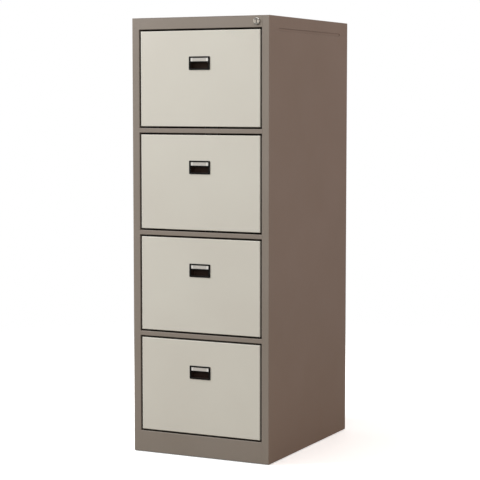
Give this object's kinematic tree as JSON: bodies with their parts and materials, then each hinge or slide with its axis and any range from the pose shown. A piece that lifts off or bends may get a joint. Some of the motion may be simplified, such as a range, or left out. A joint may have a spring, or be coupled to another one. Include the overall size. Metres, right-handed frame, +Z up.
{
  "type": "filing cabinet",
  "caption": "Tall steel filing cabinet for suspension files, with full-extension drawers on ball slides, recessed pulls with card pockets, and a key lock that bars every drawer.",
  "frame": {"origin": "on the floor, in the middle of the cabinet's box", "axes": "+X to the right seen from the front, +Y to the back, +Z up; drawers pull out along -Y"},
  "size_m": [0.46, 0.593, 1.33],
  "materials": {
    "case_paint": "satin textured enamel, warm grey-brown",
    "front_paint": "satin textured enamel, warm cream",
    "tray_paint": "satin enamel, warm grey-brown",
    "zinc_steel": "zinc-plated rolled steel",
    "cage_steel": "zinc-plated pressed strip",
    "lock_chrome": "polished chrome plate",
    "handle_plastic": "moulded, fine spark texture",
    "card": "uncoated index card",
    "foot_steel": "zinc-plated"
  },
  "bodies": {
    "case": {"side_panel_left": "case_paint", "side_panel_right": "case_paint", "back_panel": "case_paint", "top_panel": "case_paint", "header_rail": "case_paint", "cross_rails": "case_paint", "plinth_rail": "case_paint", "base_pan": "case_paint", "levelling_feet": "foot_steel", "slide_uprights": "zinc_steel", "bar_guides": "zinc_steel", "lock_barrel": "lock_chrome", "lock_nut": "zinc_steel", "slide_outer_1": "zinc_steel", "slide_outer_2": "zinc_steel", "slide_outer_3": "zinc_steel", "slide_outer_4": "zinc_steel"},
    "drawer_1": {"drawer_front_1": "front_paint", "front_liner_1": "front_paint", "drawer_tray_1": "tray_paint", "hanging_rails_1": "zinc_steel", "handle_1": "handle_plastic", "label_card_1": "card", "slide_inner_1": "zinc_steel"},
    "slide_1": {"slide_middle_1": "zinc_steel"},
    "cages_outer_1": {"cage_outer_1": "cage_steel"},
    "cages_inner_1": {"cage_inner_1": "cage_steel"},
    "drawer_2": {"drawer_front_2": "front_paint", "front_liner_2": "front_paint", "drawer_tray_2": "tray_paint", "hanging_rails_2": "zinc_steel", "handle_2": "handle_plastic", "label_card_2": "card", "slide_inner_2": "zinc_steel"},
    "slide_2": {"slide_middle_2": "zinc_steel"},
    "cages_outer_2": {"cage_outer_2": "cage_steel"},
    "cages_inner_2": {"cage_inner_2": "cage_steel"},
    "drawer_3": {"drawer_front_3": "front_paint", "front_liner_3": "front_paint", "drawer_tray_3": "tray_paint", "hanging_rails_3": "zinc_steel", "handle_3": "handle_plastic", "label_card_3": "card", "slide_inner_3": "zinc_steel"},
    "slide_3": {"slide_middle_3": "zinc_steel"},
    "cages_outer_3": {"cage_outer_3": "cage_steel"},
    "cages_inner_3": {"cage_inner_3": "cage_steel"},
    "drawer_4": {"drawer_front_4": "front_paint", "front_liner_4": "front_paint", "drawer_tray_4": "tray_paint", "hanging_rails_4": "zinc_steel", "handle_4": "handle_plastic", "label_card_4": "card", "slide_inner_4": "zinc_steel"},
    "slide_4": {"slide_middle_4": "zinc_steel"},
    "cages_outer_4": {"cage_outer_4": "cage_steel"},
    "cages_inner_4": {"cage_inner_4": "cage_steel"},
    "lock": {"lock_plug": "lock_chrome", "lock_cam": "zinc_steel"},
    "lock_bar": {"lock_bar": "zinc_steel"}
  },
  "joints": [
    {"name": "drawer_1", "type": "slide", "parent": "case", "child": "drawer_1", "axis": [0, -1, 0], "range_m": [0, 0.53]},
    {"name": "middle_members_1", "type": "slide", "parent": "case", "child": "slide_1", "axis": [0, -1, 0], "range_m": [0, 0.265]},
    {"name": "outer_cages_1", "type": "slide", "parent": "case", "child": "cages_outer_1", "axis": [0, -1, 0], "range_m": [0, 0.1325]},
    {"name": "inner_cages_1", "type": "slide", "parent": "case", "child": "cages_inner_1", "axis": [0, -1, 0], "range_m": [0, 0.3975]},
    {"name": "drawer_2", "type": "slide", "parent": "case", "child": "drawer_2", "axis": [0, -1, 0], "range_m": [0, 0.53]},
    {"name": "middle_members_2", "type": "slide", "parent": "case", "child": "slide_2", "axis": [0, -1, 0], "range_m": [0, 0.265]},
    {"name": "outer_cages_2", "type": "slide", "parent": "case", "child": "cages_outer_2", "axis": [0, -1, 0], "range_m": [0, 0.1325]},
    {"name": "inner_cages_2", "type": "slide", "parent": "case", "child": "cages_inner_2", "axis": [0, -1, 0], "range_m": [0, 0.3975]},
    {"name": "drawer_3", "type": "slide", "parent": "case", "child": "drawer_3", "axis": [0, -1, 0], "range_m": [0, 0.53]},
    {"name": "middle_members_3", "type": "slide", "parent": "case", "child": "slide_3", "axis": [0, -1, 0], "range_m": [0, 0.265]},
    {"name": "outer_cages_3", "type": "slide", "parent": "case", "child": "cages_outer_3", "axis": [0, -1, 0], "range_m": [0, 0.1325]},
    {"name": "inner_cages_3", "type": "slide", "parent": "case", "child": "cages_inner_3", "axis": [0, -1, 0], "range_m": [0, 0.3975]},
    {"name": "drawer_4", "type": "slide", "parent": "case", "child": "drawer_4", "axis": [0, -1, 0], "range_m": [0, 0.53]},
    {"name": "middle_members_4", "type": "slide", "parent": "case", "child": "slide_4", "axis": [0, -1, 0], "range_m": [0, 0.265]},
    {"name": "outer_cages_4", "type": "slide", "parent": "case", "child": "cages_outer_4", "axis": [0, -1, 0], "range_m": [0, 0.1325]},
    {"name": "inner_cages_4", "type": "slide", "parent": "case", "child": "cages_inner_4", "axis": [0, -1, 0], "range_m": [0, 0.3975]},
    {"name": "lock_bar_lift", "type": "slide", "parent": "case", "child": "lock_bar", "axis": [0, 0, 1], "range_m": [0, 0.006]},
    {"name": "lock_plug", "type": "hinge", "parent": "case", "child": "lock", "pos_m": [0.189, -0.2935, 1.3125], "axis": [0, 1, 0], "range_deg": [0, 90]}
  ],
  "couplings": [
    {"joint": "middle_members_1", "follows": "drawer_1", "ratio": 0.5},
    {"joint": "outer_cages_1", "follows": "drawer_1", "ratio": 0.25},
    {"joint": "inner_cages_1", "follows": "drawer_1", "ratio": 0.75},
    {"joint": "middle_members_2", "follows": "drawer_2", "ratio": 0.5},
    {"joint": "outer_cages_2", "follows": "drawer_2", "ratio": 0.25},
    {"joint": "inner_cages_2", "follows": "drawer_2", "ratio": 0.75},
    {"joint": "middle_members_3", "follows": "drawer_3", "ratio": 0.5},
    {"joint": "outer_cages_3", "follows": "drawer_3", "ratio": 0.25},
    {"joint": "inner_cages_3", "follows": "drawer_3", "ratio": 0.75},
    {"joint": "middle_members_4", "follows": "drawer_4", "ratio": 0.5},
    {"joint": "outer_cages_4", "follows": "drawer_4", "ratio": 0.25},
    {"joint": "inner_cages_4", "follows": "drawer_4", "ratio": 0.75},
    {"joint": "lock_plug", "follows": "lock_bar_lift", "rad_per_m": 261.8}
  ]
}
